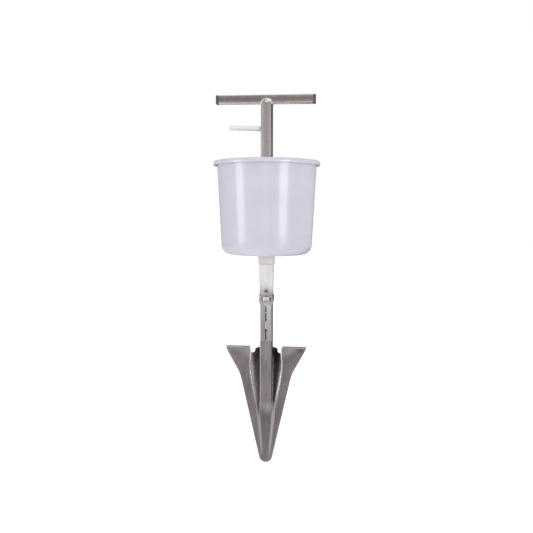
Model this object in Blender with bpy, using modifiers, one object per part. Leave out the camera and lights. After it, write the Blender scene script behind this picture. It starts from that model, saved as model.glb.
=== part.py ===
"""Hand transplanter: a T-handled upright with a hopper, a lever-lifted feed gate and a planting blade.

The frame is X to the right, -Y to the front and +Z up. The origin is on the column's axis at the
height of the blade's tip. Everything the lever lifts hangs from one empty on the column's axis.
"""
import bpy
import bmesh
from math import atan2, cos, pi, radians, sin, sqrt, tan
from mathutils import Vector

MM = 0.001
GAP = 0.3 * MM                     # clearance between pieces that touch

# Upright and handle
COLUMN_SIDE = 25.0 * MM
COLUMN_WALL = 1.5 * MM
COLUMN_RADIUS = 3.0 * MM
COLUMN_INNER = COLUMN_SIDE - 2 * COLUMN_WALL
COLUMN_BOTTOM = 352.0 * MM
BAR_SIDE = 19.0 * MM
BAR_WALL = 1.2 * MM
BAR_RADIUS = 2.5 * MM
HANDLE_TOP = 800.0 * MM
HANDLE_LENGTH = 218.0 * MM
HANDLE_OFFSET = -2.5 * MM          # the bar is welded on a little to the left of its middle
PLUG_FLANGE = 3.0 * MM
PLUG_SPIGOT = 12.0 * MM
ARCH_FOOT = 777.0 * MM             # the column's front and back walls end in an arch over the bar
ARCH_TOP = 790.0 * MM
CUT_MARGIN = 20.0 * MM             # how far a cutter reaches past what it cuts
M5_HOLE = 2.8 * MM                 # hole radii
M4_HOLE = 2.1 * MM
PIN_HOLE = 1.3 * MM

# Lift: the lever, its rod and the gate
LIFT_TRAVEL = 22.0 * MM
LEVER_HEIGHT = 727.0 * MM
LEVER_TILT = radians(2.6)
LEVER_TIP = 83.0 * MM
LEVER_DIAMETER = 6.0 * MM
SLEEVE_DIAMETER = 10.5 * MM
SLOT_CLEARANCE = 4.5 * MM          # the lever slot's length past the lever's axis at both limits
SLIDER_HEIGHT = 24.0 * MM
ROD_DIAMETER = 6.0 * MM
ROD_BOTTOM = 447.0 * MM
GUIDE_BOTTOM = 560.0 * MM
GUIDE_HEIGHT = 15.0 * MM
STOP_TOP = 502.0 * MM
STOP_HEIGHT = 6.0 * MM
SPRING_WIRE = 1.4 * MM
SPRING_OUTER = 14.0 * MM
SPRING_TURNS = 8
WINDOW_BOTTOM = 462.0 * MM
WINDOW_HEIGHT = 18.0 * MM
WINDOW_WIDTH = 16.0 * MM
GATE_BOTTOM = 459.0 * MM
GATE_HEIGHT = 29.0 * MM
BLOCK_SIDE = COLUMN_INNER - 2 * GAP

# Hopper and what fastens it
RIM_RADIUS = 116.0 * MM
RIM_TOP = 655.0 * MM
RIM_BOTTOM = 646.0 * MM
WALL_TOP_RADIUS = 108.0 * MM
WALL_LOW_RADIUS = 98.3 * MM
HOPPER_FLOOR = 454.0 * MM
HOPPER_CORNER = 20.0 * MM
HOPPER_WALL = 2.5 * MM
NECK_SIDE = 28.9 * MM
NECK_BORE = 25.9 * MM
NECK_BOTTOM = 440.0 * MM
FLANGE_RADIUS = 36.0 * MM
FLANGE_THICK = 2.0 * MM
GASKET_THICK = 1.5 * MM
BOLT_CIRCLE = 27.0 * MM
BOLT_DIAMETER = 5.0 * MM

# Boot, collar and clamp
COLLAR_SIDE = 35.6 * MM
COLLAR_WALL = 1.5 * MM
COLLAR_BOTTOM = 432.0 * MM
BOOT_TOP = 451.0 * MM
BOOT_BOTTOM = 344.0 * MM
BOOT_TOP_SIDE = 32.0 * MM
BOOT_LOW_SIDE = 29.0 * MM
BAND_BOTTOM = 351.5 * MM
BAND_WIDTH = 12.7 * MM
BAND_THICK = 0.8 * MM
HOUSING = (14.5 * MM, 7.5 * MM, 9.0 * MM)
HOUSING_OFFSET = 1.1 * MM
CLAMP_SCREW_DIAMETER = 5.0 * MM
BOOT_SCREW_HEIGHT = 374.0 * MM

# Lower tube and blade
SOCKET_SIDE = 27.0 * MM
SOCKET_WALL = 0.8 * MM
SOCKET_RADIUS = 3.2 * MM
SOCKET_TOP = 384.0 * MM
SOCKET_BOTTOM = 264.0 * MM         # the upper tube is butted on the lower one here
DROP_BOTTOM = 130.0 * MM
TUBE_RIDGE = 0.7 * MM              # the front of both tubes stands out a little along the middle
SEAM_WIDTH = 2.5 * MM
SEAM_GAPS = [(328.5, 341.0), (308.5, 326.0), (267.5, 287.0)]
KEYHOLE_HEIGHT = 288.6 * MM
KEYHOLE_RADIUS = 2.6 * MM
BLADE_THICK = 1.5 * MM
BLADE_FRONT = -SOCKET_SIDE / 2
TREAD_HEIGHT = 252.0 * MM
TREAD_DEPTH = 10.0 * MM
TREAD_BEND = 2.0 * MM
TIP_RADIUS = 14.33 * MM
FOLD_RADIUS = 8.0 * MM
FLOOR_RADIUS = 1.5 * MM
TROUGH_TOP = 246.0 * MM
NOTCH_INNER = 24.5 * MM
NOTCH_OUTER = 32.5 * MM
NOTCH_BOTTOM = 238.0 * MM
EDGE_LINE = [(11.0, 13.95), (60.0, 25.2), (120.0, 39.1), (171.0, 50.9), (184.0, 53.9),
             (197.0, 58.5), (210.0, 65.6), (223.5, 73.3), (237.0, 81.0), (252.0, 88.0)]
FOLD_LINE = [(0.0, 9.0), (50.0, 14.0), (75.0, 17.0), (100.0, 19.4), (125.0, 20.6), (147.0, 24.0),
             (165.0, 28.0), (187.0, 32.6), (206.0, 35.4), (224.0, 34.4), (252.0, 30.0)]
FLOOR_LINE = [(0.0, 4.0), (30.0, 6.5), (60.0, 9.0), (100.0, 12.5), (120.0, 14.4), (135.0, 14.7),
              (252.0, 14.7)]
DEPTH_LINE = [(0.0, 0.0), (10.0, 1.0), (30.0, 2.3), (60.0, 3.2), (90.0, 3.8), (112.0, 4.7),
              (130.0, 6.9), (150.0, 10.7), (252.0, 31.2)]
RIDGE_LINE = [(0.0, 0.0), (25.0, 0.9), (80.0, 1.2), (110.0, 1.0), (126.0, 0.1), (140.0, 0.0),
              (252.0, 0.0)]
BLADE_ROWS = [0.2, 0.9, 3, 6, 11, 18, 27, 38, 50, 62, 75, 88, 100, 110, 118, 126, 134, 142, 152,
              165, 176, 187, 197, 206, 215, 224, 237, 250]


def clear_scene():
    for obj in list(bpy.data.objects):
        bpy.data.objects.remove(obj)


def make_collection(name):
    collection = bpy.data.collections.new(name)
    bpy.context.scene.collection.children.link(collection)
    return collection


def make_material(name, colour, roughness, metallic=0.0):
    material = bpy.data.materials.new(name)
    material.use_nodes = True
    shader = material.node_tree.nodes["Principled BSDF"]
    shader.inputs["Base Color"].default_value = (*colour, 1.0)
    shader.inputs["Roughness"].default_value = roughness
    shader.inputs["Metallic"].default_value = metallic
    return material


# Basic shapes

def add_mesh(name, mesh):
    """A new object for a mesh, in the part's collection."""
    mesh.name = name
    obj = bpy.data.objects.new(name, mesh)
    PARTS.objects.link(obj)
    return obj


def curve_to_mesh(curve_object):
    """Turns a curve into a closed mesh in the same place and removes the curve."""
    name = curve_object.name
    evaluated = curve_object.evaluated_get(bpy.context.evaluated_depsgraph_get())
    mesh = bpy.data.meshes.new_from_object(evaluated)
    work = bmesh.new()
    work.from_mesh(mesh)
    bmesh.ops.remove_doubles(work, verts=work.verts, dist=0.00001)
    work.to_mesh(mesh)
    work.free()
    place = curve_object.matrix_world.copy()
    bpy.data.objects.remove(curve_object)
    obj = add_mesh(name, mesh)
    obj.matrix_world = place
    return obj


def prism(name, outlines, low, high, plane="XY"):
    """A flat outline with its holes, made solid from low to high along the plane's third axis."""
    curve = bpy.data.curves.new(name, "CURVE")
    curve.dimensions = "2D"
    curve.fill_mode = "BOTH"
    curve.extrude = (high - low) / 2
    for outline in outlines:
        spline = curve.splines.new("POLY")
        spline.points.add(len(outline) - 1)
        spline.use_cyclic_u = True
        for point, (u, v) in zip(spline.points, outline):
            point.co = (u, v, 0.0, 1.0)
    obj = bpy.data.objects.new(name, curve)
    PARTS.objects.link(obj)
    middle = (low + high) / 2
    if plane == "XY":
        obj.location = (0.0, 0.0, middle)
    elif plane == "XZ":
        obj.location = (0.0, middle, 0.0)
        obj.rotation_euler = (pi / 2, 0.0, 0.0)
    else:
        obj.location = (middle, 0.0, 0.0)
        obj.rotation_euler = (pi / 2, 0.0, pi / 2)
    bpy.context.view_layer.update()
    return curve_to_mesh(obj)


def rounded_square(side, radius, steps=4):
    """The outline of a square with round corners, centred on the axis."""
    points = []
    reach = side / 2 - radius
    for quarter in range(4):
        start = quarter * pi / 2
        centre = Vector((cos(start + pi / 4), sin(start + pi / 4))) * reach * sqrt(2)
        for step in range(steps + 1):
            angle = start + step * pi / 2 / steps
            points.append((centre.x + radius * cos(angle), centre.y + radius * sin(angle)))
    return points


def circle(radius, steps=32, centre=(0.0, 0.0)):
    return [(centre[0] + radius * cos(2 * pi * step / steps),
             centre[1] + radius * sin(2 * pi * step / steps)) for step in range(steps)]


def square_tube(name, side, wall, radius, low, high, plane="XY"):
    outer = rounded_square(side, radius)
    inner = rounded_square(side - 2 * wall, max(radius - wall, 0.3 * MM))
    return prism(name, [outer, inner], low, high, plane)


def box(name, size, centre, bevel=0.0, segments=2):
    bpy.ops.mesh.primitive_cube_add(size=1.0, location=centre)
    obj = bpy.context.active_object
    obj.name = name
    obj.scale = size
    bpy.ops.object.transform_apply(location=False, rotation=False, scale=True)
    move_to(obj, PARTS)
    if bevel:
        modifier = obj.modifiers.new("rounded edges", "BEVEL")
        modifier.width = bevel
        modifier.segments = segments
    return obj


def cylinder(name, radius, length, centre, axis="Z", vertices=24):
    turn = {"X": (0.0, pi / 2, 0.0), "Y": (pi / 2, 0.0, 0.0), "Z": (0.0, 0.0, 0.0)}[axis]
    bpy.ops.mesh.primitive_cylinder_add(vertices=vertices, radius=radius, depth=length,
                                        location=centre, rotation=turn)
    obj = bpy.context.active_object
    obj.name = name
    move_to(obj, PARTS)
    return obj


def turned(name, profile, steps=24, closed=False):
    """A profile of radius and height, running down its outer side, turned about the Z axis."""
    mesh = bpy.data.meshes.new(name)
    count = len(profile)
    edges = [(index, index + 1) for index in range(count - 1)]
    if closed:
        edges.append((count - 1, 0))
    mesh.from_pydata([(radius, 0.0, height) for radius, height in profile], edges, [])
    obj = add_mesh(name, mesh)
    screw = obj.modifiers.new("turned", "SCREW")
    screw.axis = "Z"
    screw.steps = steps
    screw.render_steps = steps
    screw.use_merge_vertices = True
    screw.merge_threshold = 0.00001
    return obj


def move_to(obj, collection):
    for old in list(obj.users_collection):
        old.objects.unlink(obj)
    collection.objects.link(obj)


def boolean(target, tool, operation):
    """Cuts or joins with a hidden tool object."""
    modifier = target.modifiers.new(tool.name, "BOOLEAN")
    modifier.operation = operation
    modifier.solver = "EXACT"
    modifier.object = tool
    tool.display_type = "WIRE"
    tool.hide_render = True
    move_to(tool, CUTTERS)


def cut(target, *tools):
    for tool in tools:
        boolean(target, tool, "DIFFERENCE")


def join(target, *tools):
    for tool in tools:
        boolean(target, tool, "UNION")


def finish(obj, material, round_piece=False):
    obj.data.materials.clear()
    obj.data.materials.append(material)
    if round_piece:
        obj.data.shade_smooth()
        obj.data.set_sharp_from_angle(angle=radians(35))
    return obj


def arc(centre, radius, first, last, steps):
    """Points on an arc from one angle to another, in degrees."""
    points = []
    for step in range(steps + 1):
        angle = radians(first + (last - first) * step / steps)
        points.append((centre[0] + radius * cos(angle), centre[1] + radius * sin(angle)))
    return points


def smooth_value(line, z):
    """The value at a height on a smooth curve through the line's points, all in millimetres."""
    heights = [point[0] for point in line]
    values = [point[1] for point in line]
    index = 0
    while index < len(line) - 2 and z > heights[index + 1]:
        index += 1

    def slope(at):
        low = max(at - 1, 0)
        high = min(at + 1, len(line) - 1)
        return (values[high] - values[low]) / (heights[high] - heights[low])

    span = heights[index + 1] - heights[index]
    t = (z - heights[index]) / span
    start = values[index] * (1 + 2 * t) * (1 - t) ** 2 + slope(index) * span * t * (1 - t) ** 2
    end = values[index + 1] * (3 - 2 * t) * t ** 2 + slope(index + 1) * span * (t - 1) * t ** 2
    return start + end


# Upright and handle

def make_handle():
    half = HANDLE_LENGTH / 2 - PLUG_FLANGE - GAP
    middle = HANDLE_TOP - BAR_SIDE / 2
    bar = square_tube("handle_bar", BAR_SIDE, BAR_WALL, BAR_RADIUS, -half, half, "YZ")
    bar.location = (HANDLE_OFFSET, 0.0, middle)
    finish(bar, STEEL)
    spigot_side = BAR_SIDE - 2 * BAR_WALL - 2 * GAP
    for name, side in (("handle_plug_left", -1), ("handle_plug_right", 1)):
        flange_middle = HANDLE_OFFSET + side * (HANDLE_LENGTH - PLUG_FLANGE) / 2
        plug = box(name, (PLUG_FLANGE, BAR_SIDE, BAR_SIDE), (flange_middle, 0.0, middle), 1.2 * MM)
        reach = PLUG_SPIGOT + PLUG_FLANGE / 2
        spigot = box(name + "_spigot", (reach, spigot_side, spigot_side),
                     (flange_middle - side * reach / 2, 0.0, middle), 1.0 * MM, 1)
        join(plug, spigot)
        finish(plug, PLUG_PLASTIC)


def make_column():
    column = square_tube("column", COLUMN_SIDE, COLUMN_WALL, COLUMN_RADIUS, COLUMN_BOTTOM, ARCH_TOP)
    bar_seat = box("bar_seat_cut", (3 * CUT_MARGIN, BAR_SIDE + 2 * GAP, 2 * CUT_MARGIN),
                   (0.0, 0.0, HANDLE_TOP - BAR_SIDE - GAP + CUT_MARGIN))
    arch = [(CUT_MARGIN, ARCH_FOOT)]
    for step in range(13):
        angle = pi * step / 12
        arch.append((COLUMN_SIDE / 2 * cos(angle), ARCH_FOOT + (ARCH_TOP - ARCH_FOOT) * sin(angle)))
    arch_high = HANDLE_TOP + CUT_MARGIN
    arch += [(-CUT_MARGIN, ARCH_FOOT), (-CUT_MARGIN, arch_high), (CUT_MARGIN, arch_high)]
    arch_cut = prism("arch_cut", [arch], -1.5 * CUT_MARGIN, 1.5 * CUT_MARGIN, "XZ")
    slot_low = LEVER_HEIGHT - SLOT_CLEARANCE
    slot_high = LEVER_HEIGHT + LIFT_TRAVEL + SLOT_CLEARANCE
    slot_width = LEVER_DIAMETER + 1.0 * MM
    slot = box("lever_slot_cut", (8 * MM, slot_width, slot_high - slot_low),
               (-COLUMN_SIDE / 2, 0.0, (slot_low + slot_high) / 2), 2.5 * MM, 3)
    windows = box("window_cut", (WINDOW_WIDTH, 2 * CUT_MARGIN, WINDOW_HEIGHT),
                  (0.0, 0.0, WINDOW_BOTTOM + WINDOW_HEIGHT / 2))
    guide_hole = cylinder("guide_hole_cut", M5_HOLE, 10 * MM,
                          (0.0, COLUMN_SIDE / 2, GUIDE_BOTTOM + GUIDE_HEIGHT / 2), "Y", 16)
    screw_hole = cylinder("boot_hole_column_cut", M4_HOLE, 10 * MM,
                          (0.0, -COLUMN_SIDE / 2, BOOT_SCREW_HEIGHT), "Y", 16)
    cut(column, bar_seat, arch_cut, slot, windows, guide_hole, screw_hole)
    finish(column, STEEL)


# Lift

def make_lever():
    direction = Vector((-cos(LEVER_TILT), 0.0, sin(LEVER_TILT)))
    root = Vector((0.0, 0.0, LEVER_HEIGHT - tan(LEVER_TILT) * COLUMN_SIDE / 2))
    turn = (0.0, atan2(direction.x, direction.z), 0.0)
    rod_length = (LEVER_TIP - 3.0 * MM) / cos(LEVER_TILT)
    rod = cylinder("lever_rod", LEVER_DIAMETER / 2, rod_length + 5 * MM,
                   root + direction * (rod_length - 5 * MM) / 2, "Z", 20)
    rod.rotation_euler = turn
    finish(rod, ROD_STEEL, True)
    radius = SLEEVE_DIAMETER / 2
    bore = LEVER_DIAMETER / 2 + 0.2 * MM
    start = COLUMN_SIDE / 2 + 0.6 * MM
    tip = LEVER_TIP
    profile = [(0.0, tip)]
    profile += arc((radius - 1.5 * MM, tip - 1.5 * MM), 1.5 * MM, 90, 0, 3)
    profile += [(radius, start), (bore, start), (bore, rod_length + 0.6 * MM), (0.0, rod_length + 0.6 * MM)]
    sleeve = turned("lever_sleeve", profile, 20)
    sleeve.location = root
    sleeve.rotation_euler = turn
    finish(sleeve, MILKY, True)


def make_slider():
    slider = box("rod_slider", (BLOCK_SIDE, BLOCK_SIDE, SLIDER_HEIGHT), (0.0, 0.0, LEVER_HEIGHT), 1.8 * MM)
    bore_end = 8.5 * MM
    bore_length = BLOCK_SIDE / 2 + bore_end
    bore_middle = (bore_end - BLOCK_SIDE / 2) / 2 - 1.0 * MM
    lever_bore = cylinder("lever_bore_cut", LEVER_DIAMETER / 2 + GAP, bore_length + 2.0 * MM,
                          (0.0, 0.0, 0.0), "Z", 20)
    lever_bore.location = (bore_middle, 0.0,
                           LEVER_HEIGHT - tan(LEVER_TILT) * (COLUMN_SIDE / 2 + bore_middle))
    lever_bore.rotation_euler = (0.0, atan2(-cos(LEVER_TILT), sin(LEVER_TILT)), 0.0)
    rod_bore = cylinder("slider_rod_cut", ROD_DIAMETER / 2 + GAP, 8 * MM,
                        (0.0, 0.0, LEVER_HEIGHT - SLIDER_HEIGHT / 2 + 3 * MM), "Z", 20)
    cut(slider, lever_bore, rod_bore)
    finish(slider, NYLON)


def make_pull_rod():
    top = LEVER_HEIGHT - SLIDER_HEIGHT / 2 + 6 * MM
    rod = cylinder("pull_rod", ROD_DIAMETER / 2, top - ROD_BOTTOM, (0.0, 0.0, (top + ROD_BOTTOM) / 2),
                   "Z", 20)
    pin_hole = cylinder("pin_hole_rod_cut", PIN_HOLE, 20 * MM,
                        (0.0, 0.0, STOP_TOP - STOP_HEIGHT / 2), "Y", 12)
    cut(rod, pin_hole)
    finish(rod, ROD_STEEL, True)


def make_spring_stop():
    middle = STOP_TOP - STOP_HEIGHT / 2
    stop = cylinder("spring_stop", 7.5 * MM, STOP_HEIGHT, (0.0, 0.0, middle), "Z", 28)
    bore = cylinder("stop_bore_cut", ROD_DIAMETER / 2 + GAP, 20 * MM, (0.0, 0.0, middle), "Z", 20)
    pin_hole = cylinder("stop_pin_cut", PIN_HOLE, 30 * MM, (0.0, 0.0, middle), "Y", 12)
    cut(stop, bore, pin_hole)
    finish(stop, FASTENER, True)
    pin = cylinder("spring_stop_pin", 1.0 * MM, 14.0 * MM, (0.0, 0.0, middle), "Y", 12)
    finish(pin, FASTENER, True)


def make_return_spring():
    """A compression spring with closed end turns between the stop and the guide."""
    radius = (SPRING_OUTER - SPRING_WIRE) / 2
    low = STOP_TOP + GAP + SPRING_WIRE / 2
    high = GUIDE_BOTTOM - GAP - SPRING_WIRE / 2
    end_pitch = SPRING_WIRE * 1.25
    points_a_turn = 12
    curve = bpy.data.curves.new("return_spring", "CURVE")
    curve.dimensions = "3D"
    curve.bevel_depth = SPRING_WIRE / 2
    curve.bevel_resolution = 2
    curve.use_fill_caps = True
    spline = curve.splines.new("POLY")
    count = SPRING_TURNS * points_a_turn
    spline.points.add(count)
    middle_pitch = (high - low - 2 * end_pitch) / (SPRING_TURNS - 2)
    for index, point in enumerate(spline.points):
        turns = index / points_a_turn
        rise = end_pitch * min(turns, 1.0)
        rise += middle_pitch * min(max(turns - 1.0, 0.0), SPRING_TURNS - 2)
        rise += end_pitch * max(turns - (SPRING_TURNS - 1), 0.0)
        angle = 2 * pi * turns
        point.co = (radius * cos(angle), radius * sin(angle), low + rise, 1.0)
    spring = bpy.data.objects.new("return_spring", curve)
    PARTS.objects.link(spring)
    bpy.context.view_layer.update()
    finish(curve_to_mesh(spring), SPRING_STEEL, True)


def make_rod_guide():
    middle = GUIDE_BOTTOM + GUIDE_HEIGHT / 2
    guide = box("rod_guide", (BLOCK_SIDE, BLOCK_SIDE, GUIDE_HEIGHT), (0.0, 0.0, middle), 1.8 * MM)
    bore = cylinder("guide_bore_cut", ROD_DIAMETER / 2 + GAP, 40 * MM, (0.0, 0.0, middle), "Z", 20)
    screw_bore = cylinder("guide_screw_cut", M5_HOLE, 10 * MM, (0.0, 10.5 * MM, middle), "Y", 16)
    cut(guide, bore, screw_bore)
    finish(guide, NYLON)
    screw = pan_screw("guide_screw", 4.5 * MM, 2.8 * MM, 2.5 * MM, 6.5 * MM)
    screw.location = (0.0, COLUMN_SIDE / 2 + GAP, middle)
    screw.rotation_euler = (-pi / 2, 0.0, 0.0)


def make_gate():
    middle = GATE_BOTTOM + GATE_HEIGHT / 2
    gate = box("gate_block", (BLOCK_SIDE, BLOCK_SIDE, GATE_HEIGHT), (0.0, 0.0, middle), 1.8 * MM)
    bore = cylinder("gate_bore_cut", ROD_DIAMETER / 2 + GAP, 60 * MM, (0.0, 0.0, middle), "Z", 20)
    cut(gate, bore)
    finish(gate, NYLON)
    nut_height = 4.0 * MM
    hex_nut("gate_nut_upper", 10 * MM, nut_height, ROD_DIAMETER,
            (0.0, 0.0, GATE_BOTTOM + GATE_HEIGHT + GAP + nut_height / 2))
    hex_nut("gate_nut_lower", 10 * MM, nut_height, ROD_DIAMETER,
            (0.0, 0.0, GATE_BOTTOM - GAP - nut_height / 2))


# Fasteners

def pan_screw(name, head_radius, head_height, shank_radius, shank_length):
    """A pan-head screw with its bearing face at the origin, pointing down, with a socket recess."""
    dome = head_height * 0.45
    profile = [(0.0, head_height)]
    profile += [(head_radius * 0.62, head_height), (head_radius * 0.88, head_height - dome * 0.35),
                (head_radius, head_height - dome), (head_radius, 0.0), (shank_radius, 0.0),
                (shank_radius, -shank_length + 0.6 * MM), (shank_radius - 0.6 * MM, -shank_length),
                (0.0, -shank_length)]
    screw = turned(name, profile, 18)
    recess = cylinder(name + "_recess_cut", head_radius * 0.36, head_height,
                      (0.0, 0.0, head_height), "Z", 6)
    recess.parent = screw
    cut(screw, recess)
    return finish(screw, FASTENER, True)


def hex_nut(name, flats, height, bore_diameter, centre):
    nut = cylinder(name, flats / sqrt(3), height, centre, "Z", 6)
    bore = cylinder(name + "_bore_cut", bore_diameter / 2 + GAP, 3 * height, centre, "Z", 18)
    cut(nut, bore)
    return finish(nut, FASTENER)


# Hopper

def make_hopper():
    low_height = HOPPER_FLOOR + HOPPER_CORNER
    bend = 3.5 * MM
    inset = HOPPER_WALL
    wall_angle = atan2(WALL_TOP_RADIUS - WALL_LOW_RADIUS, RIM_TOP - low_height)
    outer_top = WALL_TOP_RADIUS
    corner_centre = (WALL_LOW_RADIUS - HOPPER_CORNER, low_height)
    outer_rim = [(RIM_RADIUS, RIM_BOTTOM)] + arc((RIM_RADIUS - bend, RIM_TOP - bend), bend, 0, 90, 3)
    inner_edge = outer_top - inset
    top_inner = arc((inner_edge + bend, RIM_TOP - bend), bend, 90, 180, 3)
    inner_corner = arc((corner_centre[0], corner_centre[1]), HOPPER_CORNER - inset, 0, -90, 5)
    hole = 8.0 * MM
    floor_in = [(hole, HOPPER_FLOOR + inset), (hole, HOPPER_FLOOR)]
    outer_corner = arc(corner_centre, HOPPER_CORNER, -90, 0, 5)
    wall_under_rim = [(outer_top - sin(wall_angle) * (RIM_TOP - RIM_BOTTOM), RIM_BOTTOM),
                      (outer_top + 0.4 * MM, RIM_TOP - inset - 1.2 * MM),
                      (outer_top + 1.6 * MM, RIM_TOP - inset)]
    lip_inside = [(RIM_RADIUS - inset - 1.2 * MM, RIM_TOP - inset),
                  (RIM_RADIUS - inset, RIM_TOP - inset - 1.2 * MM),
                  (RIM_RADIUS - inset, RIM_BOTTOM)]
    loop = outer_rim + top_inner + inner_corner + floor_in + outer_corner
    loop += wall_under_rim + lip_inside
    loop.reverse()
    hopper = turned("hopper", loop, 48, closed=True)
    neck = prism("hopper_neck", [rounded_square(NECK_SIDE, 3.5 * MM)], NECK_BOTTOM,
                 HOPPER_FLOOR + inset / 2)
    bore = prism("hopper_bore_cut", [rounded_square(NECK_BORE, 3.0 * MM)], NECK_BOTTOM - 10 * MM,
                 HOPPER_FLOOR + 10 * MM)
    join(hopper, neck)
    cut(hopper, bore)
    for number, (x, y) in enumerate(bolt_places(), 1):
        cut(hopper, cylinder(f"hopper_hole_{number}_cut", BOLT_DIAMETER / 2 + GAP, 20 * MM,
                             (x, y, HOPPER_FLOOR), "Z", 16))
    finish(hopper, MILKY, True)


def bolt_places():
    return [(BOLT_CIRCLE * cos(quarter * pi / 2), BOLT_CIRCLE * sin(quarter * pi / 2))
            for quarter in range(4)]


def make_flange():
    gasket_low = HOPPER_FLOOR + HOPPER_WALL + GAP
    flange_low = gasket_low + GASKET_THICK + GAP
    holes = [circle(BOLT_DIAMETER / 2 + GAP, 16, place) for place in bolt_places()]
    gasket = prism("hopper_gasket",
                   [circle(FLANGE_RADIUS, 40), rounded_square(COLUMN_SIDE + 0.8 * MM, 3.0 * MM)] + holes,
                   gasket_low, gasket_low + GASKET_THICK)
    finish(gasket, RUBBER)
    flange = prism("hopper_flange",
                   [circle(FLANGE_RADIUS, 40), rounded_square(COLUMN_SIDE + 2 * GAP, 3.0 * MM)] + holes,
                   flange_low, flange_low + FLANGE_THICK)
    finish(flange, STEEL)
    head_face = flange_low + FLANGE_THICK + GAP
    nut_height = 3.2 * MM
    nut_top = HOPPER_FLOOR - GAP
    shank = head_face - (nut_top - nut_height)
    for number, (x, y) in enumerate(bolt_places(), 1):
        screw = pan_screw(f"flange_screw_{number}", 4.5 * MM, 2.8 * MM, BOLT_DIAMETER / 2, shank)
        screw.location = (x, y, head_face)
        hex_nut(f"flange_nut_{number}", 8.0 * MM, nut_height, BOLT_DIAMETER,
                (x, y, nut_top - nut_height / 2))


# Collar, boot and clamp

def make_collar():
    collar = square_tube("neck_collar", COLLAR_SIDE, COLLAR_WALL, 7.0 * MM, COLLAR_BOTTOM,
                         HOPPER_FLOOR - GAP)
    finish(collar, COLLAR_PLASTIC)


def make_boot():
    """A sleeve whose square section narrows from the hopper's neck to the lower tube."""
    boot_inner_low = SOCKET_SIDE + 2 * GAP
    neck_inner = NECK_SIDE + 2 * GAP
    sections = [(BOOT_BOTTOM, BOOT_LOW_SIDE, boot_inner_low),
                (SOCKET_TOP + 1.0 * MM, BOOT_LOW_SIDE + 0.5 * MM, boot_inner_low),
                (SOCKET_TOP + 12.0 * MM, BOOT_LOW_SIDE + 1.4 * MM, boot_inner_low + 0.3 * MM),
                (NECK_BOTTOM - 10.0 * MM, BOOT_TOP_SIDE, neck_inner),
                (BOOT_TOP, BOOT_TOP_SIDE, neck_inner)]
    rings = [(z, rounded_square(outer, 0.19 * outer)) for z, outer, _ in sections]
    rings += [(z, rounded_square(inner, 3.4 * MM)) for z, _, inner in reversed(sections)]
    work = bmesh.new()
    loops = [[work.verts.new((x, y, z)) for x, y in points] for z, points in rings]
    for lower, upper in zip(loops, loops[1:] + loops[:1]):
        for index in range(len(lower)):
            following = (index + 1) % len(lower)
            work.faces.new((lower[index], lower[following], upper[following], upper[index]))
    mesh = bpy.data.meshes.new("feed_boot")
    work.to_mesh(mesh)
    work.free()
    boot = add_mesh("feed_boot", mesh)
    cut(boot, cylinder("boot_hole_cut", M4_HOLE, 8 * MM, (0.0, -BOOT_LOW_SIDE / 2, BOOT_SCREW_HEIGHT),
                       "Y", 16))
    finish(boot, BOOT_SILICONE)
    screw = pan_screw("boot_screw", 3.0 * MM, 1.8 * MM, 1.8 * MM, 7.5 * MM)
    screw.location = (0.0, -BOOT_LOW_SIDE / 2 - 0.7 * MM, BOOT_SCREW_HEIGHT)
    screw.rotation_euler = (pi / 2, 0.0, 0.0)


def make_clamp():
    band_inner = BOOT_LOW_SIDE + 2 * GAP + 0.4 * MM
    band = square_tube("clamp_band", band_inner + 2 * BAND_THICK, BAND_THICK, 4.6 * MM, BAND_BOTTOM,
                       BAND_BOTTOM + BAND_WIDTH)
    finish(band, CLAMP_STEEL)
    length, depth, height = HOUSING
    band_face = -band_inner / 2 - BAND_THICK
    centre = (HOUSING_OFFSET, band_face - GAP - depth / 2, BAND_BOTTOM + BAND_WIDTH / 2)
    housing = box("clamp_housing", HOUSING, centre, 2.4 * MM, 3)
    bore = cylinder("housing_bore_cut", CLAMP_SCREW_DIAMETER / 2 + GAP, 30 * MM, centre, "X", 20)
    cut(housing, bore)
    finish(housing, CLAMP_STEEL)
    head = 3.4 * MM
    profile = [(0.0, head), (2.6 * MM, head), (3.4 * MM, head - 0.5 * MM), (3.4 * MM, 0.0),
               (CLAMP_SCREW_DIAMETER / 2, 0.0), (CLAMP_SCREW_DIAMETER / 2, -length - 1.0 * MM),
               (1.6 * MM, -length - 2.0 * MM), (0.0, -length - 2.0 * MM)]
    screw = turned("clamp_screw", profile, 20)
    screw.location = (centre[0] + length / 2 + GAP, centre[1], centre[2])
    screw.rotation_euler = (0.0, pi / 2, 0.0)
    slot = box("clamp_slot_cut", (8 * MM, 1.0 * MM, 2.0 * MM), (0.0, 0.0, head))
    slot.parent = screw
    cut(screw, slot)
    finish(screw, CLAMP_STEEL, True)


# Lower tube and blade

def trough_depth(z):
    """How far the trough's floor lies behind the wings at a height."""
    return smooth_value(DEPTH_LINE, z / MM) * MM


def edge_half_width(z):
    """Half the blade's width at a height; the tip is a round of one radius."""
    if z < 11.0 * MM:
        return sqrt(TIP_RADIUS ** 2 - (TIP_RADIUS - z) ** 2)
    return smooth_value(EDGE_LINE, z / MM) * MM


def ridged_tube(name, low, high):
    """A square tube whose front wall is thicker along the middle, where its seam is welded."""
    outer = rounded_square(SOCKET_SIDE, SOCKET_RADIUS)
    outer.insert(len(outer) * 3 // 4, (0.0, -SOCKET_SIDE / 2 - TUBE_RIDGE))
    inner = rounded_square(SOCKET_SIDE - 2 * SOCKET_WALL, SOCKET_RADIUS - SOCKET_WALL)
    return prism(name, [outer, inner], low, high)


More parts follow.
